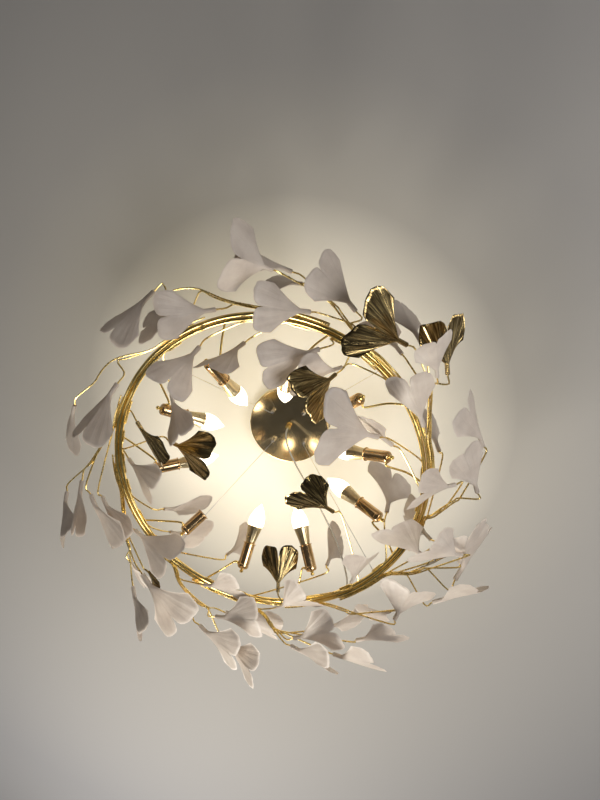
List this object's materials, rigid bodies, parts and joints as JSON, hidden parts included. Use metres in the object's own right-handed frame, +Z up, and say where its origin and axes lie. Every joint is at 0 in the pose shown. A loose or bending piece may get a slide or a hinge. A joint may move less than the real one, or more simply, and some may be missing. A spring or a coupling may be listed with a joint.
{
  "type": "branch chandelier",
  "caption": "Suspended ring chandelier of brass branches with ginkgo leaves in white porcelain and gold, candle lamps inside the ring and a round ceiling canopy.",
  "frame": {"origin": "middle of the ceiling bracket's back face, on the ceiling plane", "axes": "+Z up into the ceiling; +X and +Y are the picture's right and down directions seen from below"},
  "size_m": [0.9634, 1.013, 0.4354],
  "materials": {
    "porcelain": "satin bisque, thin enough to glow",
    "gilt_leaf": "gold mirror plating on ceramic",
    "brass_rod": "polished gold",
    "polished_brass": "polished gold",
    "canopy_mirror": "mirror gold",
    "socket_insulator": "matte",
    "bulb_housing": "champagne anodised",
    "bulb_diffuser": "frosted, lit",
    "zinc_steel": "zinc plated",
    "nickel_fittings": "nickel plated",
    "steel_wire": "bright stranded",
    "clear_cord": "clear sheath over tinned wires",
    "cord_grip": "polished gold",
    "terminal_block": "matte"
  },
  "bodies": {
    "canopy": {"canopy_cover": "canopy_mirror", "canopy_side_screws": "nickel_fittings", "ceiling_bracket": "zinc_steel", "cord_grip": "cord_grip", "gripper_bodies": "nickel_fittings", "gripper_nuts": "nickel_fittings", "mains_cord": "clear_cord", "suspension_wires": "steel_wire", "terminal_block": "terminal_block"},
    "frame": {"branch_bottom": "brass_rod", "branch_bottom_left": "brass_rod", "branch_bottom_right": "brass_rod", "branch_left": "brass_rod", "branch_left_lower": "brass_rod", "branch_left_upper": "brass_rod", "branch_right": "brass_rod", "branch_right_lower": "brass_rod", "branch_right_upper": "brass_rod", "branch_top": "brass_rod", "branch_top_left": "brass_rod", "gold_leaves": "gilt_leaf", "hoop_fittings": "polished_brass", "inner_leaves": "porcelain", "inner_twigs": "brass_rod", "lamp_arms": "polished_brass", "lampholder_cores": "socket_insulator", "lampholder_cups": "polished_brass", "lampholder_finials": "polished_brass", "leaves_bottom": "porcelain", "leaves_bottom_left": "porcelain", "leaves_bottom_right": "porcelain", "leaves_left": "porcelain", "leaves_left_lower": "porcelain", "leaves_left_upper": "porcelain", "leaves_right": "porcelain", "leaves_right_lower": "porcelain", "leaves_right_upper": "porcelain", "leaves_top": "porcelain", "leaves_top_left": "porcelain", "ring_hoop": "polished_brass"},
    "bulb_1": {"bulb_1_base": "bulb_housing", "bulb_1_diffuser": "bulb_diffuser"},
    "bulb_2": {"bulb_2_base": "bulb_housing", "bulb_2_diffuser": "bulb_diffuser"},
    "bulb_3": {"bulb_3_base": "bulb_housing", "bulb_3_diffuser": "bulb_diffuser"},
    "bulb_4": {"bulb_4_base": "bulb_housing", "bulb_4_diffuser": "bulb_diffuser"},
    "bulb_5": {"bulb_5_base": "bulb_housing", "bulb_5_diffuser": "bulb_diffuser"},
    "bulb_6": {"bulb_6_base": "bulb_housing", "bulb_6_diffuser": "bulb_diffuser"},
    "bulb_7": {"bulb_7_base": "bulb_housing", "bulb_7_diffuser": "bulb_diffuser"},
    "bulb_8": {"bulb_8_base": "bulb_housing", "bulb_8_diffuser": "bulb_diffuser"},
    "sleeve_1": {"gripper_sleeve_1": "nickel_fittings"},
    "sleeve_2": {"gripper_sleeve_2": "nickel_fittings"},
    "sleeve_3": {"gripper_sleeve_3": "nickel_fittings"},
    "sleeve_4": {"gripper_sleeve_4": "nickel_fittings"}
  },
  "joints": [
    {"name": "frame_height", "type": "slide", "parent": "canopy", "child": "frame", "axis": [0, 0, 1], "range_m": [0, 0.1], "deforming": ["suspension_wires", "mains_cord"]},
    {"name": "sleeve_1_release", "type": "slide", "parent": "canopy", "child": "sleeve_1", "axis": [0, 0, 1], "range_m": [0, 0.0015]},
    {"name": "sleeve_2_release", "type": "slide", "parent": "canopy", "child": "sleeve_2", "axis": [0, 0, 1], "range_m": [0, 0.0015]},
    {"name": "sleeve_3_release", "type": "slide", "parent": "canopy", "child": "sleeve_3", "axis": [0, 0, 1], "range_m": [0, 0.0015]},
    {"name": "sleeve_4_release", "type": "slide", "parent": "canopy", "child": "sleeve_4", "axis": [0, 0, 1], "range_m": [0, 0.0015]},
    {"name": "bulb_1_unscrew", "type": "slide", "parent": "frame", "child": "bulb_1", "axis": [-0.8501, 0.1652, 0.5], "range_m": [0, 0.03]},
    {"name": "bulb_2_unscrew", "type": "slide", "parent": "frame", "child": "bulb_2", "axis": [-0.8085, -0.3104, 0.5], "range_m": [0, 0.03]},
    {"name": "bulb_3_unscrew", "type": "slide", "parent": "frame", "child": "bulb_3", "axis": [-0.3244, -0.803, 0.5], "range_m": [0, 0.03]},
    {"name": "bulb_4_unscrew", "type": "slide", "parent": "frame", "child": "bulb_4", "axis": [0.2095, -0.8403, 0.5], "range_m": [0, 0.03]},
    {"name": "bulb_5_unscrew", "type": "slide", "parent": "frame", "child": "bulb_5", "axis": [0.8639, -0.0604, 0.5], "range_m": [0, 0.03]},
    {"name": "bulb_6_unscrew", "type": "slide", "parent": "frame", "child": "bulb_6", "axis": [0.7574, 0.4199, 0.5], "range_m": [0, 0.03]},
    {"name": "bulb_7_unscrew", "type": "slide", "parent": "frame", "child": "bulb_7", "axis": [0.3932, 0.7716, 0.5], "range_m": [0, 0.03]},
    {"name": "bulb_8_unscrew", "type": "slide", "parent": "frame", "child": "bulb_8", "axis": [-0.1652, 0.8501, 0.5], "range_m": [0, 0.03]}
  ]
}
